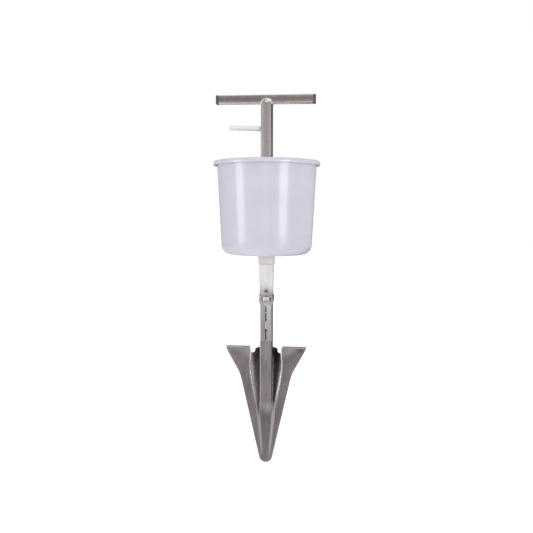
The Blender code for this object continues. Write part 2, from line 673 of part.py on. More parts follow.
def make_tubes():
    socket = ridged_tube("socket_tube", SOCKET_BOTTOM + GAP / 2, SOCKET_TOP)
    front = -SOCKET_SIDE / 2
    for number, (bottom, top) in enumerate(SEAM_GAPS, 1):
        cut(socket, box(f"seam_{number}_cut", (SEAM_WIDTH, 6 * MM, (top - bottom) * MM),
                        (0.0, front, (top + bottom) / 2 * MM)))
    flat_bottom = BOOT_BOTTOM - 2 * GAP
    flat_height = SOCKET_TOP - flat_bottom + 5 * MM
    cut(socket, box("boot_seat_cut", (10 * MM + SOCKET_SIDE, 4 * MM, flat_height),
                    (0.0, front - 2 * MM, flat_bottom + flat_height / 2)))
    cut(socket, cylinder("keyhole_cut", KEYHOLE_RADIUS, 6 * MM, (0.0, front, KEYHOLE_HEIGHT), "Y", 20),
        cylinder("boot_hole_socket_cut", M4_HOLE, 6 * MM, (0.0, front, BOOT_SCREW_HEIGHT), "Y", 16))
    finish(socket, POLISHED)

    drop = ridged_tube("drop_tube", DROP_BOTTOM, SOCKET_BOTTOM - GAP / 2)
    clear = 0.5 * MM
    heights = [(DROP_BOTTOM / MM - 10 + 12 * step) * MM for step in range(11)]
    floor = [(BLADE_FRONT + trough_depth(z) - clear, z) for z in heights]
    behind = floor + [(40 * MM, heights[-1]), (40 * MM, heights[0])]
    cut(drop, prism("trough_floor_cut", [behind], -30 * MM, 30 * MM, "YZ"))
    finish(drop, STEEL)


def fillet(before, corner, after, radius, steps):
    """Points on a curve that rounds one corner of a line, about an arc of the given radius."""
    into = (before - corner).normalized()
    out = (after - corner).normalized()
    shorter = min((before - corner).length, (after - corner).length)
    half_turn = (pi - into.angle(out)) / 2
    reach = max(radius * tan(half_turn), min(0.2 * shorter, 0.6 * MM))
    reach = min(reach, 0.45 * shorter)
    start = corner + into * reach
    end = corner + out * reach
    points = []
    for step in range(steps + 1):
        t = step / steps
        points.append(start.lerp(corner, t).lerp(corner.lerp(end, t), t))
    return points


def blade_section(z):
    """Half of the sheet's front line at a height, from its outer edge in to the middle."""
    edge = edge_half_width(z)
    fold = smooth_value(FOLD_LINE, z / MM) * MM
    floor = smooth_value(FLOOR_LINE, z / MM) * MM
    shrink = min(1.0, edge / (fold + 2.5 * MM))
    depth = trough_depth(z)
    a = Vector((edge, 0.0))
    b = Vector((fold * shrink, 0.0))
    c = Vector((floor * shrink, depth))
    d = Vector((0.0, depth))
    middle = Vector((0.0, depth - smooth_value(RIDGE_LINE, z / MM) * MM))
    upper = fillet(a, b, c, FOLD_RADIUS, 4)
    lower = fillet(b, c, d, FLOOR_RADIUS, 3)
    wing = [a.lerp(upper[0], step / 3) for step in range(3)]
    wall = [upper[-1].lerp(lower[0], step / 2) for step in range(1, 2)]
    floor_points = [lower[-1].lerp(middle, 0.5), middle]
    return wing + upper + wall + lower + floor_points


def make_blade():
    """Pressed sheet: wings flush with the tube's front, a trough behind it and treads on top."""
    work = bmesh.new()
    rows = []
    for row in BLADE_ROWS:
        z = row * MM
        rows.append([work.verts.new((p.x, BLADE_FRONT + p.y, z)) for p in blade_section(z)])
    wing_columns = 4
    bend = [(0.6, 1.4), (2.0, 2.0), (TREAD_DEPTH / MM, 2.0)]
    top = rows[-1][:wing_columns]
    treads = [top]
    for back, up in bend:
        treads.append([work.verts.new((v.co.x, BLADE_FRONT + back * MM,
                                       TREAD_HEIGHT - TREAD_BEND + up * MM)) for v in top])
    for lower, upper in list(zip(rows, rows[1:])) + list(zip(treads, treads[1:])):
        for index in range(len(lower) - 1):
            work.faces.new((lower[index], upper[index], upper[index + 1], lower[index + 1]))
    mesh = bpy.data.meshes.new("blade")
    work.to_mesh(mesh)
    work.free()
    blade = add_mesh("blade", mesh)
    mirror = blade.modifiers.new("other half", "MIRROR")
    mirror.merge_threshold = 0.00001
    sheet = blade.modifiers.new("sheet", "SOLIDIFY")
    sheet.thickness = BLADE_THICK
    sheet.offset = -1.0
    sheet.use_even_offset = True
    cut(blade, trough_top_cutter())
    finish(blade, STEEL, True)


def trough_top_cutter():
    """Trims the trough's upper edge and cuts the round-ended notches beside it."""
    middle = (NOTCH_INNER + NOTCH_OUTER) / 2
    radius = (NOTCH_OUTER - NOTCH_INNER) / 2
    round_end = arc((middle, NOTCH_BOTTOM + radius), radius, 0, -180, 8)
    right = [(NOTCH_OUTER, TREAD_HEIGHT + CUT_MARGIN)] + round_end + [(NOTCH_INNER, TROUGH_TOP)]
    left = [(-x, z) for x, z in reversed(right)]
    return prism("trough_top_cut", [right + left], -30 * MM, 40 * MM, "XZ")


clear_scene()
PARTS = make_collection("hand_transplanter")
CUTTERS = make_collection("cutters")
STEEL = make_material("stainless_steel", (0.42, 0.40, 0.39), 0.32, 1.0)
ROD_STEEL = make_material("rod_steel", (0.50, 0.49, 0.48), 0.30, 1.0)
FASTENER = make_material("fastener_steel", (0.38, 0.38, 0.39), 0.30, 1.0)
POLISHED = make_material("polished_steel", (0.60, 0.59, 0.61), 0.22, 1.0)
CLAMP_STEEL = make_material("clamp_steel", (0.62, 0.61, 0.60), 0.18, 1.0)
SPRING_STEEL = make_material("spring_steel", (0.30, 0.30, 0.31), 0.35, 1.0)
MILKY = make_material("milky_plastic", (0.80, 0.80, 0.86), 0.30)
COLLAR_PLASTIC = make_material("collar_plastic", (0.66, 0.63, 0.64), 0.45)
BOOT_SILICONE = make_material("boot_silicone", (0.78, 0.76, 0.75), 0.45)
PLUG_PLASTIC = make_material("plug_plastic", (0.07, 0.05, 0.06), 0.50)
NYLON = make_material("nylon", (0.82, 0.80, 0.74), 0.50)
RUBBER = make_material("gasket_rubber", (0.03, 0.03, 0.03), 0.70)

make_handle()
make_column()
make_lever()
make_slider()
make_pull_rod()
make_spring_stop()
make_return_spring()
make_rod_guide()
make_gate()
make_hopper()
make_flange()
make_collar()
make_boot()
make_clamp()
make_tubes()
make_blade()

lift_axis = bpy.data.objects.new("lift_axis", None)
lift_axis.location = (0.0, 0.0, LEVER_HEIGHT)
PARTS.objects.link(lift_axis)
bpy.context.view_layer.update()
for piece in ("lever_rod", "lever_sleeve", "rod_slider", "pull_rod", "spring_stop",
              "spring_stop_pin", "gate_block", "gate_nut_upper", "gate_nut_lower"):
    moving = bpy.data.objects[piece]
    moving.parent = lift_axis
    moving.matrix_parent_inverse = lift_axis.matrix_world.inverted()
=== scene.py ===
# %% [markdown]
# # A hand transplanter, finished and lit
# The tool is a square stainless upright with a T handle, a milky bucket for seed or fertiliser, and
# a pressed steel blade that opens the ground. The solids come from the design and are the frame.
# This lesson gives them fine surfaces, welds and finishes, and then a camera and a studio.

from math import cos, pi, radians, sin

import bmesh
import bpy
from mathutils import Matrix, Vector


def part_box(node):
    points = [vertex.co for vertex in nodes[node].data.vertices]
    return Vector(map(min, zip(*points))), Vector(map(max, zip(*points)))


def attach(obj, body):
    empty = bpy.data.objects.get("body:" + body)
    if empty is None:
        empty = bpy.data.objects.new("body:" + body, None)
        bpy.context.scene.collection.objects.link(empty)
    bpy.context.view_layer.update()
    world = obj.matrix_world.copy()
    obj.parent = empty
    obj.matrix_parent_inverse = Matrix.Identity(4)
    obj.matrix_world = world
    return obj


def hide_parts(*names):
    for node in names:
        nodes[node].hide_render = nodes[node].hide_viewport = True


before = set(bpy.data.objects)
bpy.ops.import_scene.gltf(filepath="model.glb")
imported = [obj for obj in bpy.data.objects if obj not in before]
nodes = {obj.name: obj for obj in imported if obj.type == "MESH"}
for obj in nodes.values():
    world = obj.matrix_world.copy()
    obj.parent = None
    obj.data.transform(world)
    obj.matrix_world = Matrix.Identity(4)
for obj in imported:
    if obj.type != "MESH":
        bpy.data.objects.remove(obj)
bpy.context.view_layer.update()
MM = 0.001

# %% [markdown]
# ## The camera
# A tall thin product is seen from a little to one side by an almost level camera, so that its
# uprights stay parallel. The lens is shifted down more than it is tilted: the horizon then lies
# above the middle of the view, across the bucket.

# %% Camera
AXIS_DISTANCE = 1.280
EYE_HEIGHT = 0.5423
SIDE_ANGLE = radians(5.0)
DOWN_ANGLE = radians(1.22)
LEAN_ANGLE = radians(-0.15)
LENS_LENGTH, SENSOR_WIDTH = 39.52, 36.0
SHIFT_SIDE, SHIFT_DOWN = -0.0004, -0.0760

camera_data = bpy.data.cameras.new("camera")
camera_data.lens = LENS_LENGTH
camera_data.sensor_width = SENSOR_WIDTH
camera_data.shift_x = SHIFT_SIDE
camera_data.shift_y = SHIFT_DOWN
camera = bpy.data.objects.new("camera", camera_data)
camera.location = (AXIS_DISTANCE * sin(SIDE_ANGLE), -AXIS_DISTANCE * cos(SIDE_ANGLE), EYE_HEIGHT)
camera.rotation_euler = (pi / 2 - DOWN_ANGLE, LEAN_ANGLE, SIDE_ANGLE)
bpy.context.scene.collection.objects.link(camera)
bpy.context.scene.camera = camera
bpy.context.scene.view_settings.view_transform = "Standard"
print("camera at", tuple(round(value, 3) for value in camera.location))

# %% [markdown]
# ## Working by hand, in code
# Blender's operators act on whatever is selected, and loading a model leaves it all selected. Each
# step therefore starts from nothing, picks one object, and picks its faces by where they are.


# %% Selecting and editing
def only(obj):
    """Selects one object and nothing else."""
    bpy.ops.object.select_all(action="DESELECT")
    obj.select_set(True)
    bpy.context.view_layer.objects.active = obj
    return obj


def edit(obj, kind="FACE"):
    """Opens an object in edit mode with nothing selected."""
    only(obj)
    bpy.ops.object.mode_set(mode="EDIT")
    bpy.ops.mesh.select_mode(type=kind)
    bpy.ops.mesh.select_all(action="DESELECT")


def pick(obj, test, kind="faces"):
    """Selects the faces or edges, in edit mode, whose middle and normal pass a test."""
    work = bmesh.from_edit_mesh(obj.data)
    for element in getattr(work, kind):
        middle = sum((vert.co for vert in element.verts), Vector()) / len(element.verts)
        element.select_set(bool(test(middle, getattr(element, "normal", None))))
    bmesh.update_edit_mesh(obj.data)


def leave():
    bpy.ops.object.mode_set(mode="OBJECT")


def face_outwards(obj):
    """Turns an open shell, in edit mode, so that its first upright wall faces away from the axis."""
    bpy.ops.mesh.select_all(action="SELECT")
    bpy.ops.mesh.normals_make_consistent(inside=False)
    work = bmesh.from_edit_mesh(obj.data)
    upright = [face for face in work.faces if abs(face.normal.z) < 0.2]
    wall_face = min(upright, key=lambda face: face.calc_center_median().z)
    middle = wall_face.calc_center_median()
    if wall_face.normal.dot(Vector((middle.x, middle.y, 0.0))) < 0:
        bpy.ops.mesh.flip_normals()


def apply_all(obj):
    """Puts an object's modifiers and its own place into its mesh."""
    only(obj)
    for modifier in list(obj.modifiers):
        bpy.ops.object.modifier_apply(modifier=modifier.name)
    bpy.ops.object.transform_apply(location=True, rotation=True, scale=True)
    return obj


def new_piece(name):
    """The object that an operator has just added, under its own name."""
    obj = bpy.context.active_object
    obj.name = name
    obj.data.name = name
    return obj


def round_edges(obj, width, segments=2, angle=30.0):
    bevel = obj.modifiers.new("round edges", "BEVEL")
    bevel.width = width
    bevel.segments = segments
    bevel.limit_method = "ANGLE"
    bevel.angle_limit = radians(angle)
    return bevel


def finish(obj, material, slot, body="frame", stands_for=(), angle=32.0, flat=True):
    """Applies everything, shades the piece, paints it and lets it ride on its body."""
    apply_all(obj)
    bpy.ops.object.shade_smooth_by_angle(angle=radians(angle))
    if flat:
        weighted = obj.modifiers.new("keep faces flat", "WEIGHTED_NORMAL")
        weighted.keep_sharp = True
        bpy.ops.object.modifier_apply(modifier=weighted.name)
    obj.data.materials.clear()
    obj.data.materials.append(material)
    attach(obj, body)
    if stands_for:
        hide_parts(*stands_for)
    print(f"{obj.name}: {len(obj.data.polygons)} faces, {slot}")
    return obj


# %% [markdown]
# ## Shader maths as Python
# A finish is a small sum: some noise, a ramp, a mask by height. Wiring each Math node by hand hides
# the sum, so one class wraps a socket and lets `1 - mask * 0.3` add the nodes. Everything else comes
# from one method that takes a node's type, its settings and what goes into its sockets.


# %% Shader helpers
class Value:
    """A socket whose maths is written in Python."""

    def __init__(self, wiring, socket):
        self.wiring = wiring
        self.socket = socket

    def combine(self, operation, left, right=0.0):
        return self.wiring.node("ShaderNodeMath", {"operation": operation}, {0: left, 1: right})

    def __add__(self, other):
        return self.combine("ADD", self, other)

    def __sub__(self, other):
        return self.combine("SUBTRACT", self, other)

    def __rsub__(self, other):
        return self.combine("SUBTRACT", other, self)

    def __mul__(self, other):
        return self.combine("MULTIPLY", self, other)

    def __abs__(self):
        return self.combine("ABSOLUTE", self)

    def smaller(self, other):
        return self.combine("MINIMUM", self, other)

    __radd__ = __add__
    __rmul__ = __mul__


class Wiring:
    """A node tree that is wired by writing sums."""

    def __init__(self, tree):
        self.tree = tree

    def put(self, socket, value):
        if isinstance(value, Value):
            self.tree.links.new(value.socket, socket)
        else:
            socket.default_value = value

    def node(self, kind, settings=None, inputs=None, output=0):
        """Adds a node, sets it up, fills its sockets and gives one output."""
        node = self.tree.nodes.new(kind)
        for name, value in (settings or {}).items():
            setattr(node, name, value)
        for name, value in (inputs or {}).items():
            self.put(node.inputs[name], value)
        return Value(self, node.outputs[output])

    def between(self, value, low, high, to_low=0.0, to_high=1.0):
        """Maps a value softly from one range to another and keeps it there."""
        return self.node("ShaderNodeMapRange", {"interpolation_type": "SMOOTHSTEP", "clamp": True},
                         {"Value": value, "From Min": low, "From Max": high,
                          "To Min": to_low, "To Max": to_high})

    def mix(self, factor, first, second):
        """A colour between two colours."""
        full = [(*colour, 1.0) if isinstance(colour, tuple) else colour for colour in (first, second)]
        return self.node("ShaderNodeMix", {"data_type": "RGBA"}, {0: factor, 6: full[0], 7: full[1]}, 2)

    def split(self, vector):
        return [self.node("ShaderNodeSeparateXYZ", {}, {0: vector}, axis) for axis in range(3)]


class Finish(Wiring):
    """A material under construction: one Principled shader and what feeds it."""

    def __init__(self, name, colour, roughness, metallic=0.0, **uniform):
        self.material = bpy.data.materials.new(name)
        self.material.use_nodes = True
        super().__init__(self.material.node_tree)
        self.shader = self.tree.nodes["Principled BSDF"]
        self.shader.inputs["Base Color"].default_value = (*colour, 1.0)
        self.shader.inputs["Roughness"].default_value = roughness
        self.shader.inputs["Metallic"].default_value = metallic
        for socket, value in uniform.items():
            self.shader.inputs[socket.replace("_", " ")].default_value = value

    def place(self, scale=(1.0, 1.0, 1.0), centre=(0.0, 0.0, 0.0)):
        """Object coordinates from a centre, stretched along the axes."""
        coordinates = self.node("ShaderNodeTexCoord", output="Object")
        moved = tuple(-part * stretch for part, stretch in zip(centre, scale))
        return self.node("ShaderNodeMapping", {}, {"Vector": coordinates, "Location": moved, "Scale": scale})

    def noise(self, scale, stretch=(1.0, 1.0, 1.0), detail=3.0, roughness=0.5):
        return self.node("ShaderNodeTexNoise", {}, {"Vector": self.place(stretch), "Scale": scale,
                                                    "Detail": detail, "Roughness": roughness})

    def height(self):
        """The height above the tool's tip, in metres."""
        return self.split(self.place())[2]

    def bump(self, field, strength, distance):
        normal = self.node("ShaderNodeBump", {}, {"Height": field, "Strength": strength,
                                                  "Distance": distance})
        self.put(self.shader.inputs["Normal"], normal)

    def feed(self, **sockets):
        for socket, value in sockets.items():
            self.put(self.shader.inputs[socket.replace("_", " ")], value)
        return self


# %% [markdown]
# ## Stainless steel
# Drawn tube and pressed sheet are finished on an abrasive belt, which leaves fine lines along the
# metal. A noise stretched a hundred times along one axis gives those lines; it moves the roughness a
# little and bumps the surface by microns. A broad noise adds the cloudiness of handled steel. Darker
# middles of the faces and brighter folds on the blade are masks made from the position on the piece:
# they are painted shade and painted highlight. So are the dark right side of a tube and the bright
# underside and dark ends of the bar: those are painted shading, which stays with the piece when it
# turns, and not something that the steel mirrors.


# %% Parts of a steel finish
LINE_SCALE, LINE_LENGTH = 1400.0, 9.0        # how finely the belt lines vary across and along them
CLOUD_SCALE = 28.0
# The blade's folds get a painted highlight; these numbers give its line, colour, width and rise.
FOLD_LOW, FOLD_HIGH = (0.0204, 0.100), (0.0318, 0.215)      # the blade's folds: side and height
FOLD_BRIGHT, FOLD_EDGES, FOLD_RISE = (1.0, 0.96, 0.98), (1.8 * MM, 4.6 * MM), (0.115, 0.185)
BLEND = 0.6 * MM


def shaded(colour, share):
    """A colour made lighter or darker by one factor."""
    return tuple(channel * share for channel in colour)


def belt_lines(steel, along):
    """Fine lines along one axis, and a broad cloud."""
    stretch = tuple(LINE_LENGTH if axis == along else LINE_SCALE for axis in "xyz")
    return steel.noise(1.0, stretch, 4.0, 0.7), steel.noise(CLOUD_SCALE, (1.0, 1.0, 0.5), 4.0, 0.6)


def painted_dark_middles(steel, tone, colour, along, cloud, middle):
    """Darkens the middle of a tube's faces against their corners, as painted shade."""
    centre, half, shade = middle
    sides = [part for part, axis in zip(steel.split(steel.place(centre=centre)), "xyz") if axis != along]
    across = abs(sides[0]).smaller(abs(sides[1])) + (cloud - 0.5) * half * 1.1
    return steel.mix(steel.between(across, half * 0.18, half * 0.72, 1.0, 0.0), tone, shaded(colour, shade))


def bar_edges(steel, tone, colour, edges):
    """Lightens a level bar below a height and darkens its two ends, as painted shading."""
    low_edge, low_shade, first_end, last_end, end_shade = edges
    places = steel.split(steel.place())
    under = steel.between(places[2], low_edge - BLEND, low_edge + BLEND, 1.0, 0.0)
    tone = steel.mix(under, tone, shaded(colour, low_shade))
    beyond = abs(places[0] - (first_end + last_end) / 2)
    half_length = (last_end - first_end) / 2
    tip = steel.between(beyond, half_length - 4.5 * MM, half_length - 2.5 * MM)
    return steel.mix(tip, tone, shaded(colour, end_shade))


def dark_side(steel, tone, colour, side):
    """Darkens a tube from a place across it to its right side, as painted shading."""
    first, shade = side
    across = steel.split(steel.place())[0]
    past = steel.between(across, first - BLEND, first + BLEND)
    return steel.mix(past, tone, shaded(colour, shade))


def painted_fold_highlights(steel, tone):
    """Brightens the blade's pressed folds, more towards their top, as painted highlight."""
    places = steel.split(steel.place())
    fold = steel.between(places[2], FOLD_LOW[1], FOLD_HIGH[1], FOLD_LOW[0], FOLD_HIGH[0])
    line = steel.between(abs(abs(places[0]) - fold), *FOLD_EDGES, 1.0, 0.0)
    return steel.mix(line * steel.between(places[2], *FOLD_RISE), tone, FOLD_BRIGHT)


# %% Steel finishes
def brushed(name, colour, roughness, along="z", tint=(), middle=None, edges=None, side=None,
            folds=False):
    """Steel with belt lines along one axis, heat tint round welds, and painted shade and highlights where
    asked for.
    """
    steel = Finish(name, colour, roughness, 1.0)
    lines, cloud = belt_lines(steel, along)
    tone = steel.mix(steel.between(lines * 0.65 + cloud * 0.35, 0.36, 0.64), shaded(colour, 0.84),
                     shaded(colour, 1.12))
    rough = steel.between(lines * 0.5 + cloud * 0.5, 0.3, 0.7, roughness - 0.06, roughness + 0.09)
    # painted shade: the middles of a tube's faces are made darker
    if middle:
        tone = painted_dark_middles(steel, tone, colour, along, cloud, middle)
    if edges:
        tone = bar_edges(steel, tone, colour, edges)
    if side:
        tone = dark_side(steel, tone, colour, side)
    # painted highlight along the blade's folds
    if folds:
        tone = painted_fold_highlights(steel, tone)
    for centre, reach, burnt in tint:
        away = steel.node("ShaderNodeVectorMath", {"operation": "DISTANCE"},
                          {0: steel.place(), 1: centre}, "Value")
        near = steel.between(away + cloud * reach * 0.5, reach * 0.55, reach * 1.25, 0.6, 0.0)
        tone = steel.mix(near, tone, burnt)
        rough = rough + near * 0.10
    steel.feed(Base_Color=tone, Roughness=rough)
    steel.bump(lines, 0.16, 0.06 * MM)
    return steel.material


STRAW = (0.50, 0.42, 0.33)
JOINT = (0.0, 0.0, 0.786)
bar_low, bar_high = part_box("handle_bar")
BAR_MIDDLE = (0.0, 0.0, (bar_low.z + bar_high.z) / 2)
BAR_UNDERSIDE = 0.7832
column_steel = brushed("column_steel", (0.66, 0.62, 0.615), 0.25, "z", [(JOINT, 20 * MM, STRAW)],
                       middle=((0.0, 0.0, 0.0), 12.5 * MM, 0.73), side=(9.8 * MM, 0.28))
# The bar's steel is darker than the column's, as painted shade.
shaded_handle_steel = brushed("shaded_handle_steel", (0.48, 0.44, 0.43), 0.24, "x", [(JOINT, 22 * MM, STRAW)],
                       middle=(BAR_MIDDLE, 9.5 * MM, 0.62),
                       edges=(BAR_UNDERSIDE, 2.2, bar_low.x, bar_high.x, 0.45))
blade_steel = brushed("blade_steel", (0.44, 0.405, 0.41), 0.24, folds=True)
drop_steel = brushed("drop_steel", (0.55, 0.51, 0.515), 0.24, side=(11.2 * MM, 0.42))
bright_steel = brushed("bright_steel", (0.83, 0.82, 0.835), 0.16, "z",
                       [((0.0, -13.5 * MM, 0.3272), 7 * MM, STRAW)], side=(10.4 * MM, 0.85))
rod_steel = brushed("drawn_rod", (0.62, 0.61, 0.60), 0.22)
flange_steel = brushed("flange_steel", (0.55, 0.53, 0.52), 0.30, "x")

# %% [markdown]
# Weld metal is rippled and slightly oxidised, so it is rougher and yellower than the tube. It is also
# nearly white, far lighter than the tube: painted highlight. Small fasteners are zinc plated: bright,
# with a faint crystalline cloud. Springs are oiled and darker.


# %% Weld, plating and wire
def plated(name, colour, roughness, cloud_scale=260.0, dark=0.8):
    metal = Finish(name, colour, roughness, 1.0)
    cloud = metal.noise(cloud_scale, detail=3.0, roughness=0.65)
    tone = metal.mix(metal.between(cloud, 0.35, 0.65), shaded(colour, dark), colour)
    metal.feed(Base_Color=tone, Roughness=metal.between(cloud, 0.3, 0.7, roughness - 0.05, roughness + 0.12))
    metal.bump(cloud, 0.12, 0.08 * MM)
    return metal.material


# nearly white weld metal: painted highlight
weld_metal_painted_bright = plated("weld_metal_painted_bright", (0.99, 0.98, 0.975), 0.42, 420.0, 0.85)
zinc = plated("zinc_plate", (0.60, 0.60, 0.62), 0.25)
dark_screw = plated("blackened_screw", (0.27, 0.26, 0.27), 0.36)
clamp_bright = plated("clamp_steel", (0.66, 0.65, 0.64), 0.20, 180.0, 0.92)
# nearly white clamp housing: painted highlight
clamp_painted_glint = plated("clamp_glint_steel", (1.0, 0.99, 0.98), 0.42, 180.0, 0.97)
spring_wire = plated("spring_wire", (0.34, 0.33, 0.34), 0.30, 600.0)

# %% [markdown]
# ## Milky plastic
# The bucket is translucent polythene. Light goes a centimetre into it and comes out again, so it has
# no hard shading, only soft grey, and its skin mirrors the lamps as clean stripes. Subsurface
# scattering gives the softness and a clear coat the stripes. Flow marks and handling scratches are
# faint, and show mostly in the gloss.


# %% Plastic finishes
def milky(name, colour, deep, roughness, coat, scatter, painted_shade_below=None):
    plastic = Finish(name, colour, roughness, 0.0, Subsurface_Weight=scatter, Subsurface_Scale=0.012,
                     Coat_Roughness=0.05, IOR=1.45)
    plastic.shader.inputs["Subsurface Radius"].default_value = (1.0, 0.95, 1.05)
    flow = plastic.noise(9.0, (1.0, 1.0, 2.6), 3.0, 0.55)
    speck = plastic.noise(900.0, detail=2.0)
    tone = plastic.mix(plastic.between(flow, 0.35, 0.66), deep, colour)
    # painted shade: darker below a given height
    if painted_shade_below:
        low, high, shade = painted_shade_below
        tone = plastic.mix(plastic.between(plastic.height(), low, high), shade, tone)
    scuff = plastic.noise(1.0, (60.0, 60.0, 700.0), 5.0, 0.75)
    plastic.feed(Base_Color=tone, Coat_Weight=plastic.between(flow, 0.3, 0.7, coat * 0.9, coat),
                 Roughness=plastic.between(scuff, 0.42, 0.72, roughness, roughness + 0.05))
    plastic.bump(flow * 0.7 + speck * 0.05, 0.05, 0.0005)
    return plastic.material


hopper_plastic = milky("hopper_plastic", (0.497, 0.486, 0.558), (0.472, 0.461, 0.532), 0.30, 0.45, 0.35)
sleeve_plastic = milky("sleeve_vinyl", (0.73, 0.73, 0.73), (0.69, 0.69, 0.69), 0.22, 0.4, 0.1)
# the collar is darker below a height near its lower edge: painted shadow
collar_plastic = milky("collar_plastic", (0.60, 0.565, 0.58), (0.56, 0.53, 0.54), 0.42, 0.12, 0.05,
                       (0.4325, 0.4350, (0.40, 0.37, 0.38)))
nylon = milky("nylon", (0.80, 0.78, 0.71), (0.75, 0.73, 0.66), 0.45, 0.05, 0.2)

# %% [markdown]
# The boot is thin silicone. Above, it hangs free of the column and looks white; lower down it grips
# the steel tube, whose grey shows through. Its colour therefore changes with height. The handle's
# plugs and the gasket are plain dark mouldings with a fine grain.


# %% Boot, plug and gasket finishes
def silicone():
    rubber = Finish("boot_silicone", (0.69, 0.66, 0.66), 0.42, 0.0, IOR=1.42)
    grain = rubber.noise(120.0, (1.0, 1.0, 0.35), 4.0, 0.6)
    grip = rubber.between(rubber.height() + grain * 0.006, 0.372, 0.396)
    free = rubber.mix(rubber.between(grain, 0.35, 0.65), (0.545, 0.525, 0.525), (0.605, 0.585, 0.58))
    tight = rubber.mix(rubber.between(grain, 0.4, 0.6), (0.29, 0.275, 0.29), (0.37, 0.355, 0.36))
    rubber.feed(Base_Color=rubber.mix(grip, tight, free),
                Roughness=rubber.between(grain, 0.3, 0.7, 0.34, 0.50))
    rubber.bump(grain, 0.2, 0.0004)
    return rubber.material


def moulded(name, colour, roughness, grain_scale):
    plastic = Finish(name, colour, roughness, 0.0, IOR=1.48)
    grain = plastic.noise(grain_scale, detail=2.0)
    light = tuple(channel * 1.5 + 0.01 for channel in colour)
    plastic.feed(Base_Color=plastic.mix(plastic.between(grain, 0.3, 0.7), colour, light),
                 Roughness=plastic.between(grain, 0.3, 0.7, roughness - 0.08, roughness + 0.08))
    plastic.bump(grain, 0.3, 0.0001)
    return plastic.material


boot_silicone = silicone()
plug_plastic = moulded("plug_plastic", (0.085, 0.065, 0.072), 0.45, 1500.0)
gasket_rubber = moulded("gasket_rubber", (0.022, 0.022, 0.024), 0.62, 900.0)

# %% [markdown]
# ## Tubes, blade and small parts
# These solids already have the right shape, but they are loose flat triangles with knife edges. A
# copy of each is merged into one skin, its flat faces are joined up, and its sharp edges get the
# tiny radius that deburring leaves. That radius is what catches the light along an edge.


# %% Finer copies of the solids
def fine_copy(node, edge, segments=2, name=None):
    """A merged copy of a solid with its edges rounded by a width."""
    source = nodes[node]
    copy = bpy.data.objects.new(name or f"{node}_fine", source.data.copy())
    bpy.context.scene.collection.objects.link(copy)
    edit(copy, "VERT")
    bpy.ops.mesh.select_all(action="SELECT")
    bpy.ops.mesh.remove_doubles(threshold=0.00001)
    bpy.ops.mesh.dissolve_limited(angle_limit=radians(0.6))
    leave()
    if edge:
        round_edges(copy, edge, segments)
    return copy


SOLID_FINISHES = {
    "column": (column_steel, "stainless", 0.25), "handle_bar": (shaded_handle_steel, "stainless", 0.2),
    "handle_plug_left": (plug_plastic, "plug_plastic", 0.2),
    "handle_plug_right": (plug_plastic, "plug_plastic", 0.2),
    "drop_tube": (drop_steel, "stainless", 0.12), "socket_tube": (bright_steel, "polished_steel", 0.12),
    "hopper_flange": (flange_steel, "stainless", 0.3), "hopper_gasket": (gasket_rubber, "gasket_rubber", 0.2),
    "rod_guide": (nylon, "nylon", 0.3), "guide_screw": (zinc, "fastener_steel", 0.12),
    "boot_screw": (dark_screw, "fastener_steel", 0.1), "return_spring": (spring_wire, "spring_steel", 0.0),
    "clamp_screw": (dark_screw, "clamp_steel", 0.15),
}
LIFT_FINISHES = {
    "lever_rod": (rod_steel, "rod_steel", 0.4), "rod_slider": (nylon, "nylon", 0.3),
    "pull_rod": (rod_steel, "rod_steel", 0.3), "spring_stop": (zinc, "fastener_steel", 0.3),
    "spring_stop_pin": (zinc, "fastener_steel", 0.2), "gate_block": (nylon, "nylon", 0.3),
    "gate_nut_upper": (zinc, "fastener_steel", 0.3), "gate_nut_lower": (zinc, "fastener_steel", 0.3),
}
for number in range(1, 5):
    SOLID_FINISHES[f"flange_screw_{number}"] = (zinc, "fastener_steel", 0.12)
    SOLID_FINISHES[f"flange_nut_{number}"] = (zinc, "fastener_steel", 0.2)
for body, table in (("frame", SOLID_FINISHES), ("lift", LIFT_FINISHES)):
    for node, (material, slot, edge) in table.items():
        finish(fine_copy(node, edge * MM), material, slot, body, (node,))

# %% [markdown]
# ## The blade
# The blade is one pressing. Its wide folds must flow, so its merged copy keeps all its rows, is
# shaded smooth across the folds, and only its cut edges, where two faces meet at a right angle, get
# a rounded rim.

# %% Blade
blade = fine_copy("blade", 0.45 * MM, 2)
blade.modifiers["round edges"].angle_limit = radians(62)
finish(blade, blade_steel, "stainless", "frame", ("blade",), 50.0, flat=False)

# %% [markdown]
# ## The bucket
# The bucket is a turned shape with a rim that rolls outward and down. By hand one starts from a
# circle of edges in the floor and draws it out and up, ring after ring, resizing each new ring to
# the next radius. Solidify then gives the wall its thickness, and a small square neck is joined on
# and bored through for the column.


# %% Drawing a shape up from a ring
def draw_rings(rings):
    """Draws the selected ring of edges through a list of (resize, rise) steps."""
    for resize, rise in rings:
        bpy.ops.mesh.extrude_edges_move(TRANSFORM_OT_translate={"value": (0.0, 0.0, rise)})
        bpy.ops.transform.resize(value=(resize, resize, 1.0), center_override=(0.0, 0.0, 0.0))


def steps_between(profile):
    """The (resize, rise) steps that lead along a profile of (radius, height) points."""
    return [(after[0] / before[0], after[1] - before[1]) for before, after in zip(profile, profile[1:])]


def quarter(centre, radius, first, last, count):
    """Points of a profile on an arc, from one angle to another, in degrees."""
    angles = [radians(first + (last - first) * step / count) for step in range(count + 1)]
    return [(centre[0] + radius * cos(angle), centre[1] + radius * sin(angle)) for angle in angles]


# %% Bucket
hopper_low, hopper_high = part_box("hopper")
column_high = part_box("column")[1]
WALL = 2.5 * MM
FLOOR = hopper_low.z + 14.0 * MM
RIM = hopper_high.z
RIM_RADIUS = hopper_high.x
CORNER = 20.0 * MM
LOW_RADIUS, TOP_RADIUS = 98.3 * MM, 108.0 * MM
LIP_HEIGHT = 9.0 * MM
LIP_ROUNDING = 1.0 * MM
FIRST_RADIUS = 16.0 * MM

